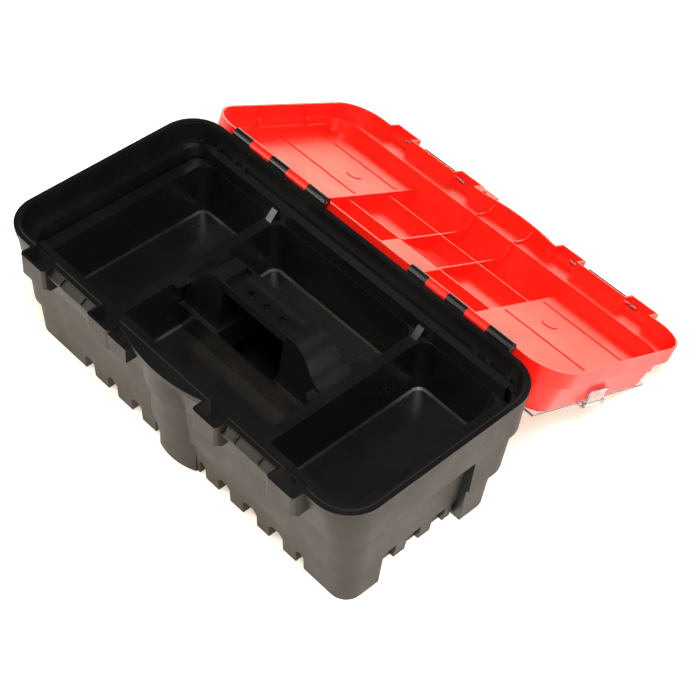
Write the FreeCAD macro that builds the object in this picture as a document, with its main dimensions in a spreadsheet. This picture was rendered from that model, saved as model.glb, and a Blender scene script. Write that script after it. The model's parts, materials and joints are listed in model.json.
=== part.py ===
import FreeCAD, Part
import math
import os
import Sketcher

# A moulded toolbox: a three-tier body, a lift-out tray, and a lid that opens past flat.
# X runs along the box, +Y is the hinge side, Z is up from the surface it stands on.
# Every piece is drawn with the lid closed; what rides on the lid is then swung open.

os.makedirs("parts", exist_ok=True)
doc = FreeCAD.newDocument("toolbox")
Vector = FreeCAD.Vector
Rotation = FreeCAD.Rotation
Placement = FreeCAD.Placement

SIZES = {
    # body
    "body_length": 500.0, "body_height": 155.0, "upper_step": 103.0, "lower_step": 49.0,
    "lip_under": 149.0, "ledge_top": 129.0, "floor_thick": 3.0,
    "boss_front": 140.0, "boss_inner": 60.0, "boss_outer": 196.0, "station_inner": 93.0,
    "station_outer": 160.0, "catch_under": 144.6,
    # hinge
    "hinge_y": 134.0, "hinge_z": 154.5, "knuckle_radius": 5.2, "knuckle_gap": 0.8,
    "hinge_pin_radius": 2.0,
    # lid
    "lid_rim": 155.3, "lid_band": 173.0, "lid_top": 205.5, "lid_front": 131.0,
    "bin_under": 185.3, "lid_wall": 2.4, "open_angle": 207.0, "bin_inner": 109.5,
    "bin_outer": 235.0, "ear_hole_radius": 3.0,
    # latches
    "latch_y": 139.5, "latch_z": 163.0, "latch_reach": 22.5, "latch_pin_radius": 1.6,
    "latch_thick": 3.0, "latch_flip": 120.0, "latch_barrel": 3.6,
    # tray
    "tray_rim": 131.0, "tray_low_rim": 115.0, "tray_floor": 58.0, "tray_under": 55.8,
    "grip_top": 147.5, "grip_floor": 139.0, "grip_front": 13.0, "grip_rear": 20.4,
    "grip_half": 46.0, "well_half": 39.6, "block_top": 88.0, "grip_hole_radius": 3.25,
    # carry handle
    "handle_y": 20.0, "handle_z": 212.0, "handle_reach": 40.0, "handle_outer": 75.0,
    "handle_arm": 11.0, "handle_pin_radius": 3.0, "handle_hang": 63.0,
    "handle_boss": 5.8, "handle_head": 4.6, "head_thick": 1.6,
    # organizer covers and their clips
    "cover_under": 205.8, "cover_thick": 2.6, "cover_outer": 239.5, "cover_axis_x": 103.0,
    "cover_axis_z": 209.2, "cover_knuckle": 3.2, "cover_pin_radius": 1.3,
    "clip_x": 244.3, "clip_z": 207.0, "clip_y": 14.0, "clip_width": 30.0, "clip_foot": 191.0,
    "clip_pin_radius": 1.0, "clip_barrel": 2.2,
    # clearances
    "running_gap": 0.05, "side_gap": 0.3,
}

sheet = doc.addObject("Spreadsheet::Sheet", "sizes")
for row, (alias, number) in enumerate(SIZES.items(), start=1):
    sheet.set("A%d" % row, alias)
    sheet.set("B%d" % row, str(number))
    sheet.setAlias("B%d" % row, alias)
doc.recompute()


def size(alias):
    """The value of one cell of the sheet."""
    return float(sheet.get(alias))


# ---------------------------------------------------------------- building blocks

def box(name, x, y, z):
    """A block between two corners; each of x, y, z is (low, high), as numbers or as formulas."""
    block = doc.addObject("Part::Box", name)
    for side, length, (low, high) in zip("xyz", ("Length", "Width", "Height"), (x, y, z)):
        block.setExpression("Placement.Base." + side, str(low))
        block.setExpression(length, "(%s) - (%s)" % (high, low))
    return block


def cylinder(name, radius, length, base, axis):
    """A round bar from base along axis; radius and length are numbers or formulas."""
    bar = doc.addObject("Part::Cylinder", name)
    bar.setExpression("Radius", str(radius))
    bar.setExpression("Height", str(length))
    bar.Placement = Placement(Vector(*base), Rotation(Vector(0, 0, 1), Vector(*axis)))
    return bar


def section(name, height, half_length, front, rear, corner, middle=0.0):
    """A rounded rectangle at one height, about X = middle, from -front to +rear in Y."""
    sketch = doc.addObject("Sketcher::SketchObject", name)
    a, f, r, c = half_length, front, rear, corner
    corners = (
        (a - c, r - c, 0.0), (c - a, r - c, 90.0), (c - a, c - f, 180.0), (a - c, c - f, 270.0),
    )
    circles = []
    for cx, cy, start in corners:
        circle = Part.Circle(Vector(cx, cy, 0), Vector(0, 0, 1), c)
        arc = Part.ArcOfCircle(circle, math.radians(start), math.radians(start + 90.0))
        circles.append(sketch.addGeometry(arc, False))
    sides = []
    for k, (cx, cy, start) in enumerate(corners):
        nx, ny, _ = corners[(k + 1) % 4]
        way = math.radians(start + 90.0)
        step = Vector(c * math.cos(way), c * math.sin(way), 0)
        line = Part.LineSegment(Vector(cx, cy, 0) + step, Vector(nx, ny, 0) + step)
        sides.append(sketch.addGeometry(line, False))
    for k in range(4):
        sketch.addConstraint(Sketcher.Constraint("Tangent", circles[k], 2, sides[k], 1))
        sketch.addConstraint(Sketcher.Constraint("Tangent", sides[k], 2, circles[(k + 1) % 4], 1))
    for k in range(1, 4):
        sketch.addConstraint(Sketcher.Constraint("Equal", circles[0], circles[k]))
    sketch.addConstraint(Sketcher.Constraint("Horizontal", sides[0]))
    sketch.addConstraint(Sketcher.Constraint("Vertical", sides[1]))
    rules = (
        ("corner", Sketcher.Constraint("Radius", circles[0], c)),
        ("right", Sketcher.Constraint("DistanceX", -1, 1, circles[0], 1, a)),
        ("left", Sketcher.Constraint("DistanceX", circles[1], 2, -1, 1, a)),
        ("rear", Sketcher.Constraint("DistanceY", -1, 1, circles[0], 2, r)),
        ("front", Sketcher.Constraint("DistanceY", circles[2], 2, -1, 1, f)),
    )
    for rule, constraint in rules:
        sketch.renameConstraint(sketch.addConstraint(constraint), rule)
    sketch.Placement = Placement(Vector(middle, 0, height), Rotation())
    return sketch


def loft(name, *levels):
    """A drafted block through sections, each (height, half length, front, rear, corner, middle)."""
    body = doc.addObject("Part::Loft", name)
    body.Sections = [section("%s_%d" % (name, k), *level) for k, level in enumerate(levels)]
    body.Solid = True
    body.Ruled = True
    return body


def profile(name, points, axis, low, high):
    """A polygon pushed along an axis from low to high; points are the two other coordinates."""
    if axis == "x":
        corners = [Vector(low, p, q) for p, q in points]
        way = Vector(1, 0, 0)
    elif axis == "y":
        corners = [Vector(p, low, q) for p, q in points]
        way = Vector(0, 1, 0)
    else:
        corners = [Vector(p, q, low) for p, q in points]
        way = Vector(0, 0, 1)
    outline = doc.addObject("Part::Feature", name + "_outline")
    outline.Shape = Part.Face(Part.makePolygon(corners + [corners[0]]))
    block = doc.addObject("Part::Extrusion", name)
    block.Base = outline
    block.DirMode = "Custom"
    block.Dir = way
    block.LengthFwd = high - low
    block.Solid = True
    return block


def smooth_profile(name, straight, smooth, low, high):
    """A block along Y whose XZ outline is straight corners closed by a smooth curve."""
    first = [Vector(x, low, z) for x, z in straight]
    curve_points = [first[-1]] + [Vector(x, low, z) for x, z in smooth] + [first[0]]
    curve = Part.BSplineCurve()
    curve.interpolate(curve_points)
    edges = [Part.LineSegment(a, b).toShape() for a, b in zip(first, first[1:])]
    edges.append(curve.toShape())
    outline = doc.addObject("Part::Feature", name + "_outline")
    outline.Shape = Part.Face(Part.Wire(edges))
    block = doc.addObject("Part::Extrusion", name)
    block.Base = outline
    block.DirMode = "Custom"
    block.Dir = Vector(0, 1, 0)
    block.LengthFwd = high - low
    block.Solid = True
    return block


def bow(name, low, high, left, right, peak, front, reach, back):
    """A bowed block: an arc from left to right reaching forward of front, closed off at back."""
    ends = [Vector(left, -front, low), Vector(peak, -front - reach, low), Vector(right, -front, low)]
    rear = [Vector(right, -back, low), Vector(left, -back, low)]
    edges = [Part.Arc(*ends).toShape()]
    corners = [ends[2]] + rear + [ends[0]]
    for first, second in zip(corners, corners[1:]):
        edges.append(Part.LineSegment(first, second).toShape())
    outline = doc.addObject("Part::Feature", name + "_outline")
    outline.Shape = Part.Face(Part.Wire(edges))
    block = doc.addObject("Part::Extrusion", name)
    block.Base = outline
    block.DirMode = "Custom"
    block.Dir = Vector(0, 0, 1)
    block.LengthFwd = high - low
    block.Solid = True
    return block


def common(name, shapes):
    """What all shapes share."""
    shared = doc.addObject("Part::MultiCommon", name)
    shared.Shapes = shapes
    return shared


def fuse(name, shapes):
    """All shapes joined into one."""
    joined = doc.addObject("Part::MultiFuse", name)
    joined.Shapes = shapes
    joined.Refine = True
    return joined


def cut(name, base, tools):
    """base without any of the tools."""
    tool = tools[0]
    if len(tools) > 1:
        tool = doc.addObject("Part::MultiFuse", name + "_tools")
        tool.Shapes = tools
    result = doc.addObject("Part::Cut", name)
    result.Base = base
    result.Tool = tool
    result.Refine = True
    return result


LID_TURN = Placement(
    Vector(0, 0, 0),
    Rotation(Vector(1, 0, 0), -size("open_angle")),
    Vector(0, size("hinge_y"), size("hinge_z")),
)


NODES = {}


def keep(node, piece, on_lid=False, own_turn=None):
    """Name a finished piece, and put it where the opened toolbox has it."""
    piece.Label = node
    if own_turn is not None:
        piece.Placement = own_turn.multiply(piece.Placement)
    if on_lid:
        piece.Placement = LID_TURN.multiply(piece.Placement)
    NODES[node] = piece


H = size("body_height")
STEP_1 = size("upper_step")
STEP_2 = size("lower_step")
HALF = size("body_length") / 2
SIDES = (("left", -1), ("right", 1))
FAR = 300.0          # past every wall


def span(sign, near, far):
    """The low and high X of a stretch from near to far on one side of the middle."""
    return (near, far) if sign > 0 else (-far, -near)


# ---------------------------------------------------------------- body shell

# Three tiers, each stepping in below the one above, under a rim lip.
# A section is (height, half length, front, rear, corner).
tiers = [
    loft("tier_low", (0, HALF - 15.5, 104, 90, 18.7), (STEP_2, HALF - 12.5, 107, 94, 21)),
    loft("tier_mid", (STEP_2, HALF - 9.5, 112, 106.7, 25), (STEP_1, HALF - 7, 115, 112.4, 27)),
    loft("tier_top", (STEP_1, HALF - 4, 118, 118, 28), (size("lip_under"), HALF - 1.4, 125, 125, 37)),
    loft("lip", (size("lip_under"), HALF - 0.3, 127, 127, 39.5), (H, HALF, 127.5, 127.5, 40)),
]
rim_bead = cut(
    "rim_bead",
    loft("bead_outside", (H - 1, 245.4, 122.9, 123.7, 36), (H + 1.8, 245.0, 122.5, 123.3, 36)),
    [loft("bead_inside", (H - 2, 242.8, 120.3, 121.3, 34), (H + 3, 243.2, 120.7, 121.7, 34))],
)

# A bow in the front wall, standing proud of all three tiers, and a wider one in the lip.
bows = [
    bow("bow_low", 0, STEP_2, -36, 24, -8, 106, 7, 90),
    bow("bow_mid", STEP_2, STEP_1, -36, 24, -8, 112, 8, 90),
    bow("bow_top", STEP_1, size("lip_under"), -36, 24, -8, 119, 9, 90),
    bow("bow_lip", size("lip_under"), H, -52, 60, 4, 127, 10, 118),
]

# Bosses either side of each latch, with the sloped catch between them.
BOSS_FOOT = 125.0
front_fittings = []
boss_pockets = []
for side, sign in SIDES:
    for place, near, far in (
        ("inner", size("boss_inner"), size("station_inner")),
        ("outer", size("station_outer"), size("boss_outer")),
    ):
        x_low, x_high = span(sign, near, far)
        front = size("boss_front")
        half = (x_high - x_low) / 2
        middle = (x_low + x_high) / 2
        front_fittings.append(loft(
            "boss_%s_%s" % (place, side), (BOSS_FOOT, half, front - 5, -118, 4, middle),
            (BOSS_FOOT + 5, half, front, -118, 4, middle), (H, half, front, -118, 4, middle),
        ))
        boss_pockets.append(loft(
            "boss_pocket_%s_%s" % (place, side),
            (BOSS_FOOT + 9, half - 2.6, front - 2.6, -116, 2, middle),
            (H + 3, half - 2.6, front - 2.6, -116, 2, middle),
        ))
    x_low, x_high = span(sign, size("station_inner") - 1, size("station_outer") + 1)
    under = size("catch_under")
    outline = ((-118, under - 3), (-127, under), (-134, under), (-134, under + 2.6), (-127, 151.5),
               (-118, 151.5))
    front_fittings.append(profile("catch_" + side, outline, "x", x_low, x_high))
    for rib, offset in (("a", 16.0), ("b", 48.0)):
        x_low, x_high = span(sign, size("station_inner") + offset, size("station_inner") + offset + 2.4)
        outline = ((-118, 118), (-127, under), (-134, under + 2.6), (-134, under + 4.5), (-127, 154),
                   (-118, 154))
        front_fittings.append(profile("catch_rib_%s_%s" % (rib, side), outline, "x", x_low, x_high))

# The padlock ear, left of the middle.
EAR = (-61.0, -34.0)
EAR_HOLE = (-48.5, -132.5)
ear = profile("ear_block", ((-118, 124), (-126, 134), (-140, 134), (-140, 152), (-118, 152)), "x", *EAR)

# Rear knuckles for the hinge, on straps that run down the wall.
BODY_KNUCKLES = ((-196, -170), (-140, -115), (-85, -58), (62, 86), (113, 138), (167, 198))
LID_KNUCKLES = ((-170, -140), (-115, -85), (86, 113), (138, 167))
knuckles = []
for index, (low, high) in enumerate(BODY_KNUCKLES):
    strap = ((118, 124), (126, 132), (134, 150), (136, 154.5), (126, 154.5), (118, 150))
    knuckles.append(profile("strap_%d" % index, strap, "x", low, high))
    knuckles.append(cylinder(
        "knuckle_%d" % index, "sizes.knuckle_radius", high - low,
        (low, size("hinge_y"), size("hinge_z")), (1, 0, 0),
    ))

outside = fuse("body_outside", tiers + [rim_bead] + bows + front_fittings + [ear] + knuckles)

# The ends: a panel set back between corner pillars, with teeth along its foot and a finger
# groove up behind the top tier.
PANEL = (-61.0, 47.0)
END_TEETH_GAPS = ((-61, -31), (-16.5, 1.6), (17, 34), (44, 47))
FRONT_GAPS = (
    (-152, -137), (-115, -100), (-77, -61), (-40, -26), (28, 37), (56, 73), (92, 112), (129, 149),
    (167, 178),
)
TOOTH_HEIGHT = 21.5
GAP_BACK = (91.0, 77.0)
GAP_WALL = 2.4
outside_cuts = []
gap_backs = []
for side, sign in SIDES:
    outline = [(sign * x, z) for x, z in ((223.5, -2), (235, STEP_1), (FAR, STEP_1), (FAR, -2))]
    outside_cuts.append(profile("panel_" + side, outline, "y", *PANEL))
    outside_cuts.append(box("finger_groove_" + side, span(sign, 234.2, 243.2), (-54, 40), (STEP_1 - 1, 125)))
    for index, (low, high) in enumerate(END_TEETH_GAPS):
        outside_cuts.append(box(
            "end_gap_%s_%d" % (side, index), span(sign, 219, FAR), (low, high), (-2, TOOTH_HEIGHT),
        ))
for index, (low, high) in enumerate(FRONT_GAPS):
    middle = (low + high) / 2
    arch = (high - low) / 2
    rise = min(arch, 5.0)
    outline = ((low, -2), (low, TOOTH_HEIGHT - rise), (middle - arch + rise, TOOTH_HEIGHT),
               (middle + arch - rise, TOOTH_HEIGHT), (high, TOOTH_HEIGHT - rise), (high, -2))
    if rise == arch:
        outline = outline[:3] + outline[4:]
    outside_cuts.append(profile("front_gap_%d" % index, outline, "y", -FAR, -GAP_BACK[0]))
    outside_cuts.append(profile("rear_gap_%d" % index, outline, "y", GAP_BACK[1], FAR))
    x_span = (low - GAP_WALL, high + GAP_WALL)
    z_span = (0, TOOTH_HEIGHT + GAP_WALL)
    gap_backs.append(box("front_gap_back_%d" % index, x_span, (-FAR, GAP_WALL - GAP_BACK[0]), z_span))
    gap_backs.append(box("rear_gap_back_%d" % index, x_span, (GAP_BACK[1] - GAP_WALL, FAR), z_span))

# The hollow follows the tiers at wall thickness, and narrows below the tray ledge.
# It stays inboard of the end panels and of the tooth gaps.
FLOOR = size("floor_thick")
LEDGE = size("ledge_top")
hollow_parts = [
    loft("hollow_foot", (FLOOR, 230.5, 101.5, 87.5, 16), (TOOTH_HEIGHT + 3, 231.5, 102, 88.2, 16.5)),
    loft("hollow_low", (TOOTH_HEIGHT + 3, 232.4, 102, 89, 17), (STEP_2 + 2.6, 234.6, 103.8, 91, 18)),
    loft("hollow_mid", (STEP_2 + 2.6, 237.9, 109.2, 104.2, 22), (STEP_1 + 2.6, 240.2, 112.2, 109.9, 24)),
    loft("hollow_top", (STEP_1 + 2.6, 231, 105, 114.6, 22), (LEDGE, 231, 105, 115.2, 22)),
    loft("hollow_rim", (LEDGE, 239, 118.5, 119.8, 30), (H + 1, 242, 119.6, 121, 33)),
]
panel_backs = []
for side, sign in SIDES:
    outline = [(sign * x, z) for x, z in (
        (216, 0), (216, TOOTH_HEIGHT + 3), (223, TOOTH_HEIGHT + 3), (232, STEP_1 + 2.6),
        (FAR, STEP_1 + 2.6), (FAR, 0),
    )]
    panel_backs.append(profile("panel_back_" + side, outline, "y", PANEL[0] - 2.6, PANEL[1] + 2.6))
hollow = cut("hollow", fuse("hollow_lofts", hollow_parts), panel_backs + gap_backs)

hinge_bores = []
for side, low, high in (("left", -197, -57), ("right", 61, 199)):
    hinge_bores.append(cylinder(
        "hinge_bore_" + side, "sizes.hinge_pin_radius", high - low,
        (low, size("hinge_y"), size("hinge_z")), (1, 0, 0),
    ))
ear_hole = cylinder("ear_hole", "sizes.ear_hole_radius", 60, EAR_HOLE + (100,), (0, 0, 1))

# Room for each lid knuckle to turn in, scooped out of the wall between the body's straps.
lid_knuckle_room = []
for index, (low, high) in enumerate(LID_KNUCKLES):
    lid_knuckle_room.append(cylinder(
        "knuckle_room_%d" % index, "sizes.knuckle_radius + sizes.knuckle_gap", high - low,
        (low, size("hinge_y"), size("hinge_z")), (1, 0, 0),
    ))
body_shell = cut(
    "body_cut", outside,
    outside_cuts + boss_pockets + [hollow, ear_hole] + hinge_bores + lid_knuckle_room,
)

# Small locating lugs standing on the ledge at the corners.
lugs = []
for index, (x, y) in enumerate((
    (-226, 112), (-205, 119), (-180, 119), (-166, 119), (167, 119), (183, 119), (210, 119),
    (226, 112), (168, -111), (184, -111), (212, -110),
)):
    lugs.append(box("lug_%d" % index, (x - 2.4, x + 2.4), (y - 1.6, y + 1.6), (LEDGE - 3, LEDGE + 6)))
keep("body_shell", fuse("body_whole", [body_shell] + lugs))

# ---------------------------------------------------------------- hinge pins

for side, low, high in (("left", -195.5, -58.5), ("right", 62.5, 197.5)):
    keep("hinge_pin_" + side, cylinder(
        "hinge_rod_" + side, "sizes.hinge_pin_radius", high - low,
        (low, size("hinge_y"), size("hinge_z")), (1, 0, 0),
    ))

# ---------------------------------------------------------------- lid shell, drawn closed

RIM = size("lid_rim")
BAND = size("lid_band")
TOP = size("lid_top")
LID_WALL = size("lid_wall")
BIN_UNDER = size("bin_under")
lid_outside = [
    loft("lid_band_block", (RIM, HALF, size("lid_front"), 127.5, 40),
         (BAND, HALF - 1, size("lid_front") - 1, 126, 38)),
    loft("lid_top_block", (BAND, 246, 104, 124, 30), (TOP, 240, 99, 118, 26)),
    bow("lid_bow", RIM, BAND, -52, 60, 4, size("lid_front") - 0.5, 10, 110),
]
LID_BOSS_FRONT = 146.0
LID_BOSSES = (
    ("inner", size("boss_inner"), size("station_inner") + 1.5),
    ("outer", size("station_outer") - 0.5, size("boss_outer") + 1),
)
for side, sign in SIDES:
    for place, near, far in LID_BOSSES:
        x_low, x_high = span(sign, near, far)
        outline = ((-120, RIM), (-LID_BOSS_FRONT, RIM), (-LID_BOSS_FRONT, 166), (-138, BAND), (-120, BAND))
        lid_outside.append(profile("lid_boss_%s_%s" % (place, side), outline, "x", x_low, x_high))
lid_outside.append(box("lid_ear", EAR, (-143, -120), (RIM, RIM + 4)))
for index, (low, high) in enumerate(LID_KNUCKLES):
    gap = size("side_gap")
    lid_outside.append(cylinder(
        "lid_knuckle_%d" % index, "sizes.knuckle_radius", high - low - 2 * gap,
        (low + gap, size("hinge_y"), size("hinge_z")), (1, 0, 0),
    ))
    strap = ((124, RIM), (134, RIM), (136.5, 159), (126, 165), (124, 165))
    lid_outside.append(profile("lid_strap_%d" % index, strap, "x", low + gap, high - gap))

# The rest of the lid's raised furniture: carry-handle lugs, cover-hinge lugs, clip ledges.
HANDLE_LUG = (size("handle_outer") + size("side_gap"), size("handle_outer") + 9)
COVER_LUGS = ((-80.0, -72.0), (11.0, 19.0), (102.0, 110.0))
for side, sign in SIDES:
    x_low, x_high = span(sign, *HANDLE_LUG)
    y = size("handle_y")
    outline = ((y - 16, TOP - 2), (y - 8, 215), (y - 4, 217.5), (y + 4, 217.5), (y + 8, 215),
               (y + 16, TOP - 2))
    lid_outside.append(profile("handle_lug_" + side, outline, "x", x_low, x_high))
    for index, (low, high) in enumerate(COVER_LUGS):
        axis_x = size("cover_axis_x")
        outline = [(sign * x, z) for x, z in (
            (axis_x - 7, TOP - 2), (axis_x - 3.5, 211.5), (axis_x - 1.5, 213), (axis_x + 1.5, 213),
            (axis_x + 3.4, 211.5), (axis_x + 3.4, TOP - 2),
        )]
        lid_outside.append(profile("cover_lug_%s_%d" % (side, index), outline, "y", low, high))
    outline = [(sign * x, z) for x, z in ((238, 193.8), (243.2, 193.8), (243.2, 195), (238, 199))]
    clip_half = size("clip_width") / 2 - 3
    lid_outside.append(profile(
        "clip_ledge_" + side, outline, "y", size("clip_y") - clip_half, size("clip_y") + clip_half,
    ))
lid_block = fuse("lid_block", lid_outside)

# Inside: the deep middle, and the shallow ends under the organizer bins.
inside_middle = loft(
    "inside_all", (BAND - LID_WALL, 243.4, 101.6, 121.4, 28), (TOP - LID_WALL, 237.8, 96.8, 115.8, 24),
)
inside_band = loft(
    "inside_band", (RIM - 1, HALF - LID_WALL, size("lid_front") - LID_WALL, 125.1, 37.6),
    (BAND - LID_WALL, HALF - LID_WALL - 1, size("lid_front") - LID_WALL - 1, 123.6, 35.6),
)
bin_floors = []
for side, sign in SIDES:
    bin_floors.append(box(
        "bin_floor_" + side, span(sign, size("bin_inner") - LID_WALL, FAR), (-FAR, FAR), (BIN_UNDER, TOP + 1),
    ))
# The finger scoop in the lid's top: a shallow round trough that rises towards the front,
# running into a narrow flat-bottomed one behind it.
SCOOP_RADIUS = 180.0
SCOOP_RISE = math.radians(15.6)
SCOOP_REAR = 24.0
SCOOP_UNDER = 189.3


def scoop(name, wall):
    """The trough with its surface raised by wall, and drawn in by wall at the sides."""
    up = Vector(0, math.sin(SCOOP_RISE), math.cos(SCOOP_RISE))
    along = Vector(0, -math.cos(SCOOP_RISE), math.sin(SCOOP_RISE))
    centre = Vector(0, SCOOP_REAR, SCOOP_UNDER) + up * SCOOP_RADIUS
    start = centre - along * FAR
    barrel = cylinder(name + "_barrel", SCOOP_RADIUS - wall, 2 * FAR, tuple(start), tuple(along))
    room = box(name + "_room", (wall - 62, 62 - wall), (-40, SCOOP_REAR - wall), (170, TOP + 1))
    rear = box(
        name + "_rear", (wall - 30, 30 - wall), (SCOOP_REAR - wall, 90 - wall), (SCOOP_UNDER + wall, TOP + 1),
    )
    return fuse(name, [common(name + "_front", [barrel, room]), rear])


hand_platform = scoop("hand_platform", 0.0)
inside_bow = bow("inside_bow", RIM - 1, BAND - LID_WALL, -48, 56, 4, size("lid_front") - 3, 9.6, 110)
boss_hollows = []
for side, sign in SIDES:
    for place, near, far in LID_BOSSES:
        x_low, x_high = span(sign, near + LID_WALL, far - LID_WALL)
        front = LID_WALL - LID_BOSS_FRONT
        outline = ((-120, RIM - 1), (front, RIM - 1), (front, 165), (-138, BAND - LID_WALL),
                   (-120, BAND - LID_WALL))
        boss_hollows.append(profile("boss_hollow_%s_%s" % (place, side), outline, "x", x_low, x_high))
inside = fuse("inside", [
    cut("inside_deep", inside_middle, bin_floors + [hand_platform]), inside_band, inside_bow,
] + boss_hollows)
# Three bins from front to rear at each end, open at the lid's top.
BIN_STRETCHES = ((-92, -62), (-60, 10), (12, 108))
bins = []
for side, sign in SIDES:
    low = size("bin_inner")
    high = size("bin_outer")
    for index, (y_low, y_high) in enumerate(BIN_STRETCHES):
        bins.append(box(
            "bin_%s_%d" % (side, index), span(sign, low, high), (y_low, y_high),
            (BIN_UNDER + LID_WALL, TOP + 1),
        ))
hand_recess = scoop("hand_recess", LID_WALL)
lid_bores = []
for side, low, high in (("left", -170, -85), ("right", 86, 167)):
    lid_bores.append(cylinder(
        "lid_bore_" + side, "sizes.hinge_pin_radius + sizes.running_gap", high - low,
        (low, size("hinge_y"), size("hinge_z")), (1, 0, 0),
    ))
for side, sign in SIDES:
    near, far = span(sign, size("station_inner") - 13, size("station_outer") + 15)
    lid_bores.append(cylinder(
        "latch_bore_" + side, "sizes.latch_pin_radius", far - near,
        (near, -size("latch_y"), size("latch_z")), (1, 0, 0),
    ))
    near, far = span(sign, HANDLE_LUG[0] - 1, HANDLE_LUG[1] + 1)
    lid_bores.append(cylinder(
        "handle_bore_" + side, "sizes.handle_pin_radius", far - near,
        (near, size("handle_y"), size("handle_z")), (1, 0, 0),
    ))
    lid_bores.append(cylinder(
        "cover_bore_" + side, "sizes.cover_pin_radius", 192,
        (sign * size("cover_axis_x"), -81, size("cover_axis_z")), (0, 1, 0),
    ))
lid_ear_hole = cylinder("lid_ear_hole", "sizes.ear_hole_radius", 20, EAR_HOLE + (150,), (0, 0, 1))
body_knuckle_room = []
for index, (low, high) in enumerate(BODY_KNUCKLES):
    body_knuckle_room.append(cylinder(
        "body_knuckle_room_%d" % index, "sizes.knuckle_radius + sizes.knuckle_gap", high - low,
        (low, size("hinge_y"), size("hinge_z")), (1, 0, 0),
    ))
lid_hollow = cut(
    "lid_cut", lid_block, [inside, lid_ear_hole] + bins + lid_bores + body_knuckle_room,
)

# Thin ribs crossing inside the middle; the two that run front to rear climb the front wall.
RIB_LOW = 189.0
END_PANEL = 108.0
RIB = 1.0
ribs = [box("rib_front", (-END_PANEL, END_PANEL), (-46 - RIB, -46 + RIB), (RIB_LOW, TOP - 1))]
for side, sign in SIDES:
    outline = ((-129.5, 158), (-124, 167), (-106, 168.5), (-98, 173), (-93, RIB_LOW),
               (SCOOP_REAR, RIB_LOW), (SCOOP_REAR, TOP - 1), (-98, TOP - 1), (-103, 172.4), (-129.5, 171.8))
    ribs.append(profile("rib_long_" + side, outline, "x", sign * 28 - RIB, sign * 28 + RIB))
    ribs.append(box(
        "rib_rear_" + side, span(sign, 27, END_PANEL), (SCOOP_REAR - RIB, SCOOP_REAR + RIB),
        (RIB_LOW, TOP - 1),
    ))

# Moulding details of the end panels: two low beads and a round gate mark; and of the end
# walls: a step along the foot and two short ribs.
BEAD = 0.9
END_STEP = ((238.4, 186), (239.6, 178.5), (243.6, 177.5), (243.6, 186))
END_RIB = ((238.6, 186), (240.0, 171.5), (245.0, 169.5), (245.8, 157), (249, 157), (246.4, 170),
           (244, 172), (243, 186))
for side, sign in SIDES:
    for index, y in enumerate((-61, 11)):
        low, high = span(sign, 112, 232)
        ribs.append(profile("panel_bead_%s_%d" % (side, index), (
            (y - 3.5, BIN_UNDER + 0.5), (y - 1.5, BIN_UNDER - BEAD), (y + 1.5, BIN_UNDER - BEAD),
            (y + 3.5, BIN_UNDER + 0.5),
        ), "x", low, high))
    ribs.append(cylinder("gate_mark_" + side, 9.0, 2 * BEAD, (sign * 146, -26, BIN_UNDER - BEAD), (0, 0, 1)))
    ribs.append(profile("end_step_" + side, [(sign * x, z) for x, z in END_STEP], "y", -84, 96))
    for index, y in enumerate((-38, 44)):
        ribs.append(profile(
            "end_rib_%s_%d" % (side, index), [(sign * x, z) for x, z in END_RIB], "y", y - RIB, y + RIB,
        ))
lid_shell = cut("lid_whole", fuse("lid_ribbed", [lid_hollow] + ribs), [hand_recess])
keep("lid_shell", lid_shell, on_lid=True)

# ---------------------------------------------------------------- latches

for side, sign in SIDES:
    gap = size("side_gap")
    x_low, x_high = span(sign, size("station_inner") + 1.5 + gap, size("station_outer") - 0.5 - gap)
    y = -size("latch_y")
    z = size("latch_z")
    foot = z - size("latch_reach")
    half = size("latch_thick") / 2
    plate = profile("latch_plate_" + side, (
        (y - half, foot), (y + 8, foot), (y + 8, foot + 1.6), (y + half, foot + 3.6), (y + half, z),
        (y - half, z),
    ), "x", x_low, x_high)
    barrel = cylinder(
        "latch_barrel_" + side, "sizes.latch_barrel", x_high - x_low, (x_low, y, z), (1, 0, 0),
    )
    grips = []
    for index in range(3):
        low = foot + 2.0 + 3.4 * index
        grips.append(profile("latch_grip_%s_%d" % (side, index), (
            (y - half - 1.0, low + 0.5), (y, low), (y, low + 1.6), (y - half - 1.0, low + 1.1),
        ), "x", x_low + 6, x_high - 6))
    bore = cylinder(
        "latch_run_" + side, "sizes.latch_pin_radius + sizes.running_gap", x_high - x_low + 2,
        (x_low - 1, y, z), (1, 0, 0),
    )
    latch = cut("latch_cut_" + side, fuse("latch_block_" + side, [plate, barrel] + grips), [bore])
    flip = Placement(Vector(0, 0, 0), Rotation(Vector(1, 0, 0), -size("latch_flip")), Vector(0, y, z))
    keep("latch_" + side, latch, on_lid=True, own_turn=flip)
    near, far = span(sign, size("station_inner") - 12, size("station_outer") + 14)
    keep("latch_pin_" + side, cylinder(
        "latch_rod_" + side, "sizes.latch_pin_radius", far - near, (near, y, z), (1, 0, 0),
    ), on_lid=True)

# ---------------------------------------------------------------- tray

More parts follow.
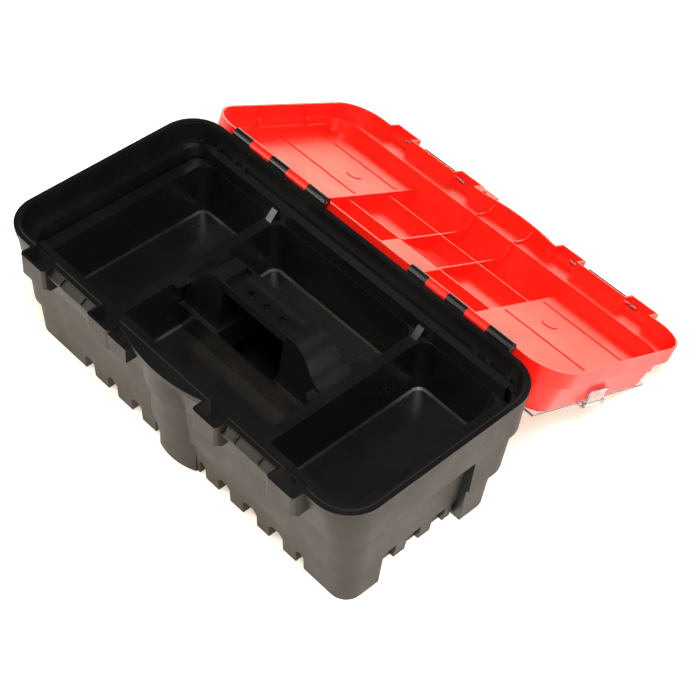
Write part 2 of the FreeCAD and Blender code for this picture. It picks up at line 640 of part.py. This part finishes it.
TRAY_RIM = size("tray_rim")
LOW_RIM = size("tray_low_rim")
TRAY_FLOOR = size("tray_floor")
UNDER = size("tray_under")
tray_parts = [
    loft("tray_outside", (UNDER, 211.2, 97.2, 103.7, 10), (LOW_RIM, 216.2, 100.9, 109.6, 12)),
    loft("tray_flange", (LOW_RIM - 2, 228, 100.9, 109.6, 14), (LOW_RIM, 228, 100.9, 109.6, 14)),
    profile("long_wall_front", (
        (-98.7, LOW_RIM - 4), (-99.7, TRAY_RIM), (-101.9, TRAY_RIM), (-100.9, LOW_RIM - 4),
    ), "x", -216, 216),
    profile("long_wall_rear", (
        (107.4, LOW_RIM - 4), (109.1, TRAY_RIM), (111.3, TRAY_RIM), (109.6, LOW_RIM - 4),
    ), "x", -216, 216),
    box("long_lip_front", (-216, 216), (-106.4, -99.7), (LEDGE, TRAY_RIM)),
    box("long_lip_rear", (-216, 216), (111.2, 117.2), (LEDGE, TRAY_RIM)),
]
tray_block = fuse("tray_block", tray_parts)
tray_above = profile("tray_above", (
    (-98.7, LOW_RIM), (-99.7, TRAY_RIM), (-99.7, TRAY_RIM + 1), (109.1, TRAY_RIM + 1), (109.1, TRAY_RIM),
    (107.4, LOW_RIM),
), "x", -FAR, FAR)

# Three bays with rounded corners and a rounded foot, parted by two hollow dividers.
DIVIDER_LOW = (95.0, 117.5)
DIVIDER_HIGH = (99.8, 112.0)
FOOT_ROUND = 4.0
BAY_FRONT = (95.0, 98.7)
BAY_REAR = (101.5, 107.4)


def bay(name, low_span, high_span):
    """One bay, between two X positions at its floor and two at its top."""
    levels = []
    for rise, inset in ((0.0, FOOT_ROUND), (0.3 * FOOT_ROUND, 0.3 * FOOT_ROUND), (FOOT_ROUND, 0.0)):
        x_low, x_high = low_span
        levels.append((
            TRAY_FLOOR + rise, (x_high - x_low) / 2 - inset, BAY_FRONT[0] - inset, BAY_REAR[0] - inset,
            12 - inset, (x_low + x_high) / 2,
        ))
    x_low, x_high = high_span
    levels.append((
        LOW_RIM + 0.01, (x_high - x_low) / 2, BAY_FRONT[1], BAY_REAR[1], 14, (x_low + x_high) / 2,
    ))
    return loft(name, *levels)


bays = [bay("bay_middle", (-DIVIDER_LOW[0], DIVIDER_LOW[0]), (-DIVIDER_HIGH[0], DIVIDER_HIGH[0]))]
for side, sign in SIDES:
    bays.append(bay(
        "bay_" + side, span(sign, DIVIDER_LOW[1], 209), span(sign, DIVIDER_HIGH[1], 214),
    ))

# The posts that carry the grip: an S-shaped tongue, drafted front and rear, down to a collar
# on each divider and a block on the floor of the middle bay.
GRIP_FRONT = size("grip_front")
GRIP_REAR = size("grip_rear")
GRIP_TOP = size("grip_top")
BLOCK_TOP = size("block_top")
BLOCK = (-27.0, 36.0)
TRAY_WALL = 2.3
POST_FOOT = (23.0, 31.0)
POST_STRAIGHT = (
    (101.5, LOW_RIM - 2), (96, BLOCK_TOP - 6), (44, BLOCK_TOP - 6), (44, 132), (46, GRIP_TOP),
    (55, GRIP_TOP),
)
POST_CURVE = ((63, 146.2), (70, 142.4), (77, 135.6), (83, 128), (90, 121.5), (97, 117.4))
POST_HOLLOW_STRAIGHT = (
    (92, LOW_RIM - 5), (92, BLOCK_TOP - 10), (46.4, BLOCK_TOP - 10), (46.4, 131), (48.4, GRIP_TOP - 2.4),
    (54, GRIP_TOP - 2.4),
)
POST_HOLLOW_CURVE = ((61, 143.6), (67.4, 140.2), (74, 134), (80, 126.4), (86, 119.2))
DIVIDER_HOLLOW = ((97.4, UNDER - 1), (102, LOW_RIM - 2.2), (109.8, LOW_RIM - 2.2), (115.1, UNDER - 1))


def post_draft(name, wall):
    """The drafted room of a post on the right, from its block up to the grip, less a wall."""
    return loft(
        name, (BLOCK_TOP - 12, 44.5, POST_FOOT[0] - wall, POST_FOOT[1] - wall, 9, 57.5),
        (GRIP_TOP - wall, 44.5, GRIP_FRONT - wall, GRIP_REAR - wall, 9, 57.5),
    )


def mirrored(name, shape):
    """The same shape on the other side of X = 0."""
    other = doc.addObject("Part::Mirroring", name)
    other.Source = shape
    other.Normal = Vector(1, 0, 0)
    return other


post_right = common("post_right", [
    smooth_profile("post_outline", POST_STRAIGHT, POST_CURVE, BLOCK[0] - 2, BLOCK[1] + 2),
    post_draft("post_draft", 0.0),
])
post_hollow_right = common("post_hollow_right", [
    smooth_profile("post_hollow_outline", POST_HOLLOW_STRAIGHT, POST_HOLLOW_CURVE, BLOCK[0], BLOCK[1]),
    post_draft("post_hollow_draft", TRAY_WALL),
])
inner_parts = [post_right, mirrored("post_left", post_right)]
inner_hollows = [post_hollow_right, mirrored("post_hollow_left", post_hollow_right)]
for side, sign in SIDES:
    mirror = [(sign * x, z) for x, z in DIVIDER_HOLLOW]
    inner_hollows.append(profile("divider_hollow_" + side, mirror, "y", -93, 98))
    inner_parts.append(loft(
        "collar_" + side, (LOW_RIM - 16, 4.5, 25, 34, 4, sign * 104.0),
        (LOW_RIM, 9.5, 31, 40, 7, sign * 99.5),
    ))
    x_low, x_high = span(sign, 102, 110)
    inner_parts.append(profile("gusset_" + side, (
        (98, LOW_RIM - 1), (108.6, LOW_RIM - 1), (109.8, 126), (108, 126),
    ), "x", x_low, x_high))
    inner_parts.append(box("block_" + side, span(sign, size("well_half"), 96), BLOCK, (UNDER, BLOCK_TOP)))
    inner_hollows.append(box(
        "block_hollow_" + side, span(sign, size("well_half") + TRAY_WALL, 93),
        (BLOCK[0] + TRAY_WALL, BLOCK[1] - TRAY_WALL), (UNDER - 1, BLOCK_TOP - TRAY_WALL),
    ))

# The grip: a trough between the posts with three rimmed holes in its floor.
GRIP_FLOOR = size("grip_floor")
trough = cut("grip_trough_bar", box(
    "grip_bar", (-47, 47), (-GRIP_FRONT, GRIP_REAR), (GRIP_FLOOR - 2.4, GRIP_TOP),
), [box(
    "grip_trough", ("-sizes.grip_half", "sizes.grip_half"), (2.2 - GRIP_FRONT, GRIP_REAR - 2.2),
    (GRIP_FLOOR, GRIP_TOP + 1),
)])
HOLE_PITCH = 22.5
hole_rims = []
holes = []
for k in (-1, 0, 1):
    x = HOLE_PITCH * k
    y = (GRIP_REAR - GRIP_FRONT) / 2
    hole_rims.append(cylinder(
        "grip_hole_rim_%d" % (k + 1), "sizes.grip_hole_radius + 1.5", 2.4, (x, y, GRIP_FLOOR - 1), (0, 0, 1),
    ))
    holes.append(cylinder(
        "grip_hole_%d" % (k + 1), "sizes.grip_hole_radius", 20, (x, y, GRIP_FLOOR - 9), (0, 0, 1),
    ))
grip = cut("grip", fuse("grip_rimmed", [trough] + hole_rims), holes)

WELL = size("well_half")
well_walls = box("well_walls", (-WELL - 1, WELL + 1), BLOCK, (UNDER, BLOCK_TOP))
well = box(
    "well", ("-sizes.well_half", "sizes.well_half"), (BLOCK[0] + TRAY_WALL, BLOCK[1] - TRAY_WALL),
    (UNDER - 1, BLOCK_TOP + 1),
)
tray_shell = cut("tray_shell", tray_block, bays + [tray_above])
tray = cut(
    "tray_cut", fuse("tray_whole", [tray_shell, grip, well_walls] + inner_parts), inner_hollows + [well],
)
keep("tray", tray)

# ---------------------------------------------------------------- carry handle

ARM = size("handle_arm")
OUTER = size("handle_outer")
Y0 = size("handle_y")
Z0 = size("handle_z")
GRIP_Y = Y0 - size("handle_reach")
handle_parts = []
for side, sign in SIDES:
    x_low, x_high = span(sign, OUTER - ARM, OUTER)
    handle_parts.append(profile("handle_arm_" + side, (
        (GRIP_Y - 7, Z0 - 3), (GRIP_Y - 4, Z0 - 5.5), (Y0, Z0 - 5.5), (Y0, Z0 + 5.5),
        (GRIP_Y - 4, Z0 + 5.5), (GRIP_Y - 7, Z0 + 3),
    ), "x", x_low, x_high))
    handle_parts.append(cylinder(
        "handle_boss_" + side, "sizes.handle_boss", x_high - x_low, (x_low, Y0, Z0), (1, 0, 0),
    ))
handle_parts.append(profile("handle_bar", (
    (GRIP_Y - 8, Z0 - 2), (GRIP_Y - 5, Z0 - 5), (GRIP_Y + 7, Z0 - 5), (GRIP_Y + 9, Z0 - 2),
    (GRIP_Y + 9, Z0 + 4), (GRIP_Y + 6, Z0 + 7), (GRIP_Y - 5, Z0 + 7), (GRIP_Y - 8, Z0 + 4),
), "x", -OUTER, OUTER))
handle_run = cylinder(
    "handle_run", "sizes.handle_pin_radius + sizes.running_gap", 2 * OUTER + 2,
    (-OUTER - 1, Y0, Z0), (1, 0, 0),
)
handle = cut("handle_cut", fuse("handle_block", handle_parts), [handle_run])
hang = Placement(Vector(0, 0, 0), Rotation(Vector(1, 0, 0), -size("handle_hang")), Vector(0, Y0, Z0))
keep("carry_handle", handle, on_lid=True, own_turn=hang)
for side, sign in SIDES:
    near, far = span(sign, OUTER - ARM, HANDLE_LUG[1] + 1)
    rod = cylinder("handle_rod_" + side, "sizes.handle_pin_radius", far - near, (near, Y0, Z0), (1, 0, 0))
    head_low, _ = span(sign, HANDLE_LUG[1], HANDLE_LUG[1] + size("head_thick"))
    head = cylinder(
        "handle_head_" + side, "sizes.handle_head", "sizes.head_thick", (head_low, Y0, Z0), (1, 0, 0),
    )
    keep("handle_pin_" + side, fuse("handle_pin_whole_" + side, [rod, head]), on_lid=True)

# ---------------------------------------------------------------- organizer covers and clips

COVER_LOW = size("cover_under")
COVER_HIGH = COVER_LOW + size("cover_thick")
AXIS_X = size("cover_axis_x")
AXIS_Z = size("cover_axis_z")
CLIP_Y = size("clip_y")
CLIP_HALF = size("clip_width") / 2
CLIP_X = size("clip_x")
CLIP_Z = size("clip_z")
for side, sign in SIDES:
    gap = size("side_gap")
    plate = box(
        "cover_plate_" + side, span(sign, AXIS_X + 4.2, size("cover_outer")), (-94, 115),
        (COVER_LOW, COVER_HIGH),
    )
    parts = [plate]
    for index in range(2):
        low = COVER_LUGS[index][1] + gap
        high = COVER_LUGS[index + 1][0] - gap
        parts.append(cylinder(
            "cover_knuckle_%s_%d" % (side, index), "sizes.cover_knuckle", high - low,
            (sign * AXIS_X, low, AXIS_Z), (0, 1, 0),
        ))
        parts.append(box(
            "cover_leaf_%s_%d" % (side, index), span(sign, AXIS_X, AXIS_X + 5), (low, high),
            (AXIS_Z - 3.1, AXIS_Z - 0.4),
        ))
    for index, (low, high) in enumerate((
        (CLIP_Y - CLIP_HALF - 4, CLIP_Y - CLIP_HALF - gap),
        (CLIP_Y + CLIP_HALF + gap, CLIP_Y + CLIP_HALF + 4),
    )):
        parts.append(box(
            "clip_ear_root_%s_%d" % (side, index), span(sign, size("cover_outer") - 1, CLIP_X), (low, high),
            (COVER_LOW, CLIP_Z + 2.2),
        ))
        parts.append(box(
            "clip_ear_%s_%d" % (side, index), span(sign, CLIP_X - 3.2, CLIP_X + 2.2), (low, high),
            (CLIP_Z - 2.2, CLIP_Z + 2.2),
        ))
    cuts = [
        cylinder("cover_run_" + side, "sizes.cover_pin_radius + sizes.running_gap", 192,
                 (sign * AXIS_X, -81, AXIS_Z), (0, 1, 0)),
        cylinder("clip_bore_" + side, "sizes.clip_pin_radius", 2 * CLIP_HALF + 10,
                 (sign * CLIP_X, CLIP_Y - CLIP_HALF - 5, CLIP_Z), (0, 1, 0)),
    ]
    cover = cut("cover_cut_" + side, fuse("cover_block_" + side, parts), cuts)
    keep("organizer_cover_" + side, cover, on_lid=True)
    keep("cover_pin_" + side, cylinder(
        "cover_rod_" + side, "sizes.cover_pin_radius", 190, (sign * AXIS_X, -80, AXIS_Z), (0, 1, 0),
    ), on_lid=True)
    foot = size("clip_foot")
    hook = profile("clip_plate_" + side, [(sign * x, z) for x, z in (
        (CLIP_X - 0.7, CLIP_Z), (CLIP_X - 0.7, foot + 2.4), (CLIP_X - 1.5, foot + 2.4),
        (CLIP_X - 0.9, foot), (CLIP_X + 2.2, foot - 2), (CLIP_X + 2.8, foot - 2),
        (CLIP_X + 1.4, foot + 2), (CLIP_X + 1.4, CLIP_Z),
    )], "y", CLIP_Y - CLIP_HALF, CLIP_Y + CLIP_HALF)
    barrel = cylinder(
        "clip_barrel_" + side, "sizes.clip_barrel", 2 * CLIP_HALF, (sign * CLIP_X, CLIP_Y - CLIP_HALF, CLIP_Z), (0, 1, 0),
    )
    run = cylinder("clip_run_" + side, "sizes.clip_pin_radius + sizes.running_gap", 2 * CLIP_HALF + 2,
                   (sign * CLIP_X, CLIP_Y - CLIP_HALF - 1, CLIP_Z), (0, 1, 0))
    clip = cut("clip_cut_" + side, fuse("clip_block_" + side, [hook, barrel]), [run])
    keep("cover_clip_" + side, clip, on_lid=True)
    keep("clip_pin_" + side, cylinder(
        "clip_rod_" + side, "sizes.clip_pin_radius", 2 * CLIP_HALF + 7.6,
        (sign * CLIP_X, CLIP_Y - CLIP_HALF - 3.8, CLIP_Z), (0, 1, 0),
    ), on_lid=True)

# ---------------------------------------------------------------- checks and export

doc.recompute()
for thing in doc.Objects:
    if "Invalid" in thing.State or "Error" in thing.State:
        raise RuntimeError("%s did not compute" % thing.Label)
for node, piece in NODES.items():
    if piece.Shape.isNull() or not piece.Shape.isValid():
        raise RuntimeError("%s has no valid shape" % node)
    if len(piece.Shape.Solids) != 1:
        raise RuntimeError("%s is %d solids" % (node, len(piece.Shape.Solids)))
    piece.Shape.exportStep("parts/%s.step" % node)
    bounds = piece.Shape.BoundBox
    print("%-24s x %.1f..%.1f  y %.1f..%.1f  z %.1f..%.1f" % (
        node, bounds.XMin, bounds.XMax, bounds.YMin, bounds.YMax, bounds.ZMin, bounds.ZMax,
    ))
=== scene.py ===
import json
import math

import bpy
from mathutils import Matrix, Vector

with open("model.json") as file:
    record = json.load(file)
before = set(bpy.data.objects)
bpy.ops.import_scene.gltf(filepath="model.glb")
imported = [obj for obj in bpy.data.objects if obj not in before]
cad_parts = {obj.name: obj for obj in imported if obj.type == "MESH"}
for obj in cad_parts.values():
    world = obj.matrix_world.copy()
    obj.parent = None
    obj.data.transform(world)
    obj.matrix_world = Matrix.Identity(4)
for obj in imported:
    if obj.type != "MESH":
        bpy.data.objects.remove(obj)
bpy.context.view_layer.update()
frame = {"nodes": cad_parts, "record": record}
nodes = frame["nodes"]


# ---------------------------------------------------------------- materials

class Shader:
    """A Principled material built node by node."""

    def __init__(self, name):
        self.material = bpy.data.materials.new(name)
        self.material.use_nodes = True
        self.tree = self.material.node_tree
        self.surface = self.tree.nodes["Principled BSDF"]
        self.place = self.add("ShaderNodeTexCoord").outputs["Object"]

    def add(self, kind, **inputs):
        node = self.tree.nodes.new(kind)
        for key, value in inputs.items():
            node.inputs[key.replace("_", " ")].default_value = value
        return node

    def link(self, source, target):
        self.tree.links.new(source, target)

    def noise(self, scale, detail, rough=0.5):
        node = self.add("ShaderNodeTexNoise", Scale=scale, Detail=detail, Roughness=rough)
        self.link(self.place, node.inputs["Vector"])
        return node.outputs["Fac"]

    def cells(self, scale):
        """Distance to the nearest of many scattered points, for a pebbled grain."""
        node = self.add("ShaderNodeTexVoronoi", Scale=scale)
        self.link(self.place, node.inputs["Vector"])
        return node.outputs["Distance"]

    def spread(self, source, low, high, start=0.3, end=0.7):
        """Map source from start..end to low..high."""
        node = self.add("ShaderNodeMapRange")
        node.inputs["From Min"].default_value = start
        node.inputs["From Max"].default_value = end
        node.inputs["To Min"].default_value = low
        node.inputs["To Max"].default_value = high
        self.link(source, node.inputs["Value"])
        return node.outputs["Result"]

    def bump(self, height, strength, distance, below=None):
        node = self.add("ShaderNodeBump", Strength=strength, Distance=distance)
        self.link(height, node.inputs["Height"])
        if below is not None:
            self.link(below, node.inputs["Normal"])
        return node.outputs["Normal"]

    def mix(self, factor, first, second):
        node = self.tree.nodes.new("ShaderNodeMix")
        node.data_type = "RGBA"
        node.inputs["A"].default_value = first
        node.inputs["B"].default_value = second
        self.link(factor, node.inputs["Factor"])
        return node.outputs["Result"]


def moulded(name, colour, worn, roughness, grain, grain_depth, level=0.5, sheen=(1, 1, 1, 1)):
    """A moulded plastic: a fine grain over slight flow marks, with faint handling wear.

    The wear shifts the colour from colour to worn; level and sheen set its reflections.
    """
    shader = Shader(name)
    surface = shader.surface
    handled = shader.spread(shader.noise(9.0, 4.0, 0.6), 0.0, 1.0, 0.45, 0.75)
    shader.link(shader.mix(handled, colour, worn), surface.inputs["Base Color"])
    low, high = roughness
    shader.link(shader.spread(shader.noise(22.0, 5.0, 0.6), low, high), surface.inputs["Roughness"])
    surface.inputs["Specular IOR Level"].default_value = level
    surface.inputs["Specular Tint"].default_value = sheen
    flow = shader.bump(shader.noise(14.0, 2.0), 0.12, 0.0006)
    fine = shader.bump(shader.cells(grain), 0.5, grain_depth, flow)
    shader.link(fine, surface.inputs["Normal"])
    return shader.material


SCUFF = 0.16


def clear(name, tint, roughness):
    """A clear moulded plastic; its roughness rises by SCUFF where it is scuffed."""
    shader = Shader(name)
    surface = shader.surface
    surface.inputs["Base Color"].default_value = tint
    surface.inputs["Transmission Weight"].default_value = 0.92
    surface.inputs["IOR"].default_value = 1.49
    scuffs = shader.spread(shader.noise(60.0, 6.0, 0.7), roughness, roughness + SCUFF)
    shader.link(scuffs, surface.inputs["Roughness"])
    shader.link(shader.bump(shader.noise(18.0, 2.0), 0.1, 0.0005), surface.inputs["Normal"])
    return shader.material


def steel(name):
    """Drawn wire: fine lines along X."""
    shader = Shader(name)
    surface = shader.surface
    surface.inputs["Base Color"].default_value = (0.55, 0.55, 0.56, 1)
    surface.inputs["Metallic"].default_value = 1.0
    stretch = shader.add("ShaderNodeMapping")
    stretch.inputs["Scale"].default_value = (0.05, 1, 1)
    shader.link(shader.place, stretch.inputs["Vector"])
    lines = shader.add("ShaderNodeTexNoise", Scale=900.0, Detail=2.0)
    shader.link(stretch.outputs["Vector"], lines.inputs["Vector"])
    shader.link(shader.spread(lines.outputs["Fac"], 0.22, 0.4), surface.inputs["Roughness"])
    shader.link(shader.bump(lines.outputs["Fac"], 0.2, 0.0001), surface.inputs["Normal"])
    return shader.material


body_black = moulded(
    "body_black", (0.024, 0.0205, 0.016, 1), (0.034, 0.029, 0.023, 1), (0.46, 0.6), 1500.0, 0.00018,
    0.36, (0.9, 0.8, 0.66, 1),
)
# Painted shade: the body's own black plastic, darkened for its inward and upward faces, with a
# smoother, glossier finish.
body_inside_shaded = moulded(
    "body_inside_shaded", (0.0035, 0.0035, 0.0035, 1), (0.006, 0.006, 0.006, 1), (0.26, 0.38), 1300.0, 0.00004,
)
tray_black = moulded(
    "tray_black", (0.0035, 0.0035, 0.0038, 1), (0.006, 0.006, 0.006, 1), (0.24, 0.36), 1100.0, 0.00003,
)
latch_black = moulded(
    "latch_black", (0.009, 0.009, 0.009, 1), (0.016, 0.016, 0.016, 1), (0.3, 0.45), 1300.0, 0.00008,
)
lid_red = moulded(
    "lid_red", (0.86, 0.0105, 0.0045, 1), (0.88, 0.016, 0.007, 1), (0.28, 0.4), 1200.0, 0.00004,
    0.5, (1, 0.84, 0.72, 1),
)
SLOTS = {
    "body_black": body_black, "tray_black": tray_black, "lid_red": lid_red,
    "latch_black": latch_black, "handle_black": latch_black,
    "cover_clear": clear("cover_clear", (0.95, 0.96, 0.965, 1), 0.04),
    "clip_clear": clear("clip_clear", (0.95, 0.96, 0.96, 1), 0.08),
    "pin_steel": steel("pin_steel"),
}
for entry in frame["record"]["subparts"]:
    mesh = nodes[entry["node"]].data
    mesh.materials.clear()
    mesh.materials.append(SLOTS[entry["material_slot"]])

# The body's inside is smooth and glossy; its outside keeps the spark-eroded grain. The inside material
# is also far darker than the outside: painted shade on the one black plastic. A face gets this painted
# shade if it looks towards the middle of the box, or up.
HALF_LENGTH = 0.25
HALF_WIDTH = 0.127
INWARD = -0.01
UPWARD = 0.5
body = nodes["body_shell"].data
body.materials.append(body_inside_shaded)
for polygon in body.polygons:
    centre = polygon.center
    facing = polygon.normal
    outward = centre.x * facing.x / HALF_LENGTH ** 2 + centre.y * facing.y / HALF_WIDTH ** 2
    if outward < INWARD or facing.z > UPWARD:
        polygon.material_index = 1

# Soften every moulded edge with a small bevel, as a modifier over the unchanged mesh.
BEVEL_ANGLE = math.radians(28)
BEVELS = {
    "body_shell": 0.0009, "lid_shell": 0.0009, "tray": 0.0009, "carry_handle": 0.0012,
    "latch_left": 0.0005, "latch_right": 0.0005, "organizer_cover_left": 0.0005,
    "organizer_cover_right": 0.0005, "cover_clip_left": 0.0003, "cover_clip_right": 0.0003,
}
for name, width in BEVELS.items():
    bevel = nodes[name].modifiers.new("edges", "BEVEL")
    bevel.width = width
    bevel.segments = 2
    bevel.limit_method = "ANGLE"
    bevel.angle_limit = BEVEL_ANGLE
    for polygon in nodes[name].data.polygons:
        polygon.use_smooth = True
    weighted = nodes[name].modifiers.new("flats", "WEIGHTED_NORMAL")
    weighted.mode = "FACE_AREA_WITH_ANGLE"
    weighted.weight = 60
    weighted.keep_sharp = True

# ---------------------------------------------------------------- studio

def level_sheet(name, side, height, material):
    """A flat square sheet of the given side, lying level at a height."""
    half = side / 2
    mesh = bpy.data.meshes.new(name)
    corners = [(-half, -half, 0), (half, -half, 0), (half, half, 0), (-half, half, 0)]
    mesh.from_pydata(corners, [], [(0, 1, 2, 3)])
    mesh.materials.append(material)
    sheet = bpy.data.objects.new(name, mesh)
    sheet.matrix_world = Matrix.Translation((0, 0, height))
    bpy.context.scene.collection.objects.link(sheet)
    return sheet


floor_shader = Shader("floor_white")
floor_shader.surface.inputs["Base Color"].default_value = (0.93, 0.93, 0.93, 1)
floor_shader.surface.inputs["Roughness"].default_value = 0.7
floor_shader.surface.inputs["Emission Color"].default_value = (1, 0.84, 0.66, 1)
floor_shader.surface.inputs["Emission Strength"].default_value = 0.65
FLOOR_SIDE = 8
FLOOR_HEIGHT = -0.0006
level_sheet("floor", FLOOR_SIDE, FLOOR_HEIGHT, floor_shader.material)

world = bpy.data.worlds.new("studio")
world.use_nodes = True
world.node_tree.nodes["Background"].inputs["Color"].default_value = (1, 1, 1, 1)
world.node_tree.nodes["Background"].inputs["Strength"].default_value = 0.06
bpy.context.scene.world = world


def softbox(name, at, target, width, depth, power, colour=(1, 1, 1)):
    """A rectangular area light at one place, aimed at another."""
    lamp = bpy.data.lights.new(name, "AREA")
    lamp.color = colour
    lamp.shape = "RECTANGLE"
    lamp.size = width
    lamp.size_y = depth
    lamp.energy = power
    holder = bpy.data.objects.new(name, lamp)
    holder.location = at
    holder.rotation_euler = (Vector(target) - Vector(at)).to_track_quat("-Z", "Y").to_euler()
    bpy.context.scene.collection.objects.link(holder)


WARM = (1, 0.84, 0.66)
softbox("low_back", (-0.69, 1.58, 0.24), (0, 0.25, 0.08), 1.7, 0.42, 11, WARM)
softbox("overhead", (0.75, -0.35, 2.0), (0, 0.15, 0.05), 1.0, 1.0, 55)
softbox("front_left", (-1.5, -1.5, 0.7), (0, 0, 0.08), 1.4, 0.7, 27)
softbox("right", (1.9, 0.3, 0.6), (0, 0.1, 0.08), 0.8, 0.7, 8)
softbox("edges", (-0.95, -0.85, 1.75), (0, 0, 0.08), 0.5, 0.5, 7, WARM)

bpy.context.scene.view_settings.view_transform = "Standard"

# ---------------------------------------------------------------- camera

lens = bpy.data.cameras.new("camera")
lens.sensor_width = 36.0     # mm
lens.lens = 91.43            # mm
camera = bpy.data.objects.new("camera", lens)
CAMERA_PLACE = Vector((0.8563, -0.7833, 1.3764))
forward = Vector((-0.45933, 0.48641, -0.74325)).normalized()
up = Vector((0, 0, 1))
# The picture is rolled a few degrees: the camera's right-hand side is tipped up by this much.
RIGHT_RISE = 0.0543
across = forward.cross(up).normalized()
above = across.cross(forward).normalized()
roll = math.asin(RIGHT_RISE / above.z)
right = (across * math.cos(roll) + above * math.sin(roll)).normalized()
upward = right.cross(forward).normalized()
turn = Matrix((right, upward, -forward)).transposed().to_4x4()
camera.matrix_world = Matrix.Translation(CAMERA_PLACE) @ turn
bpy.context.scene.collection.objects.link(camera)
bpy.context.scene.camera = camera
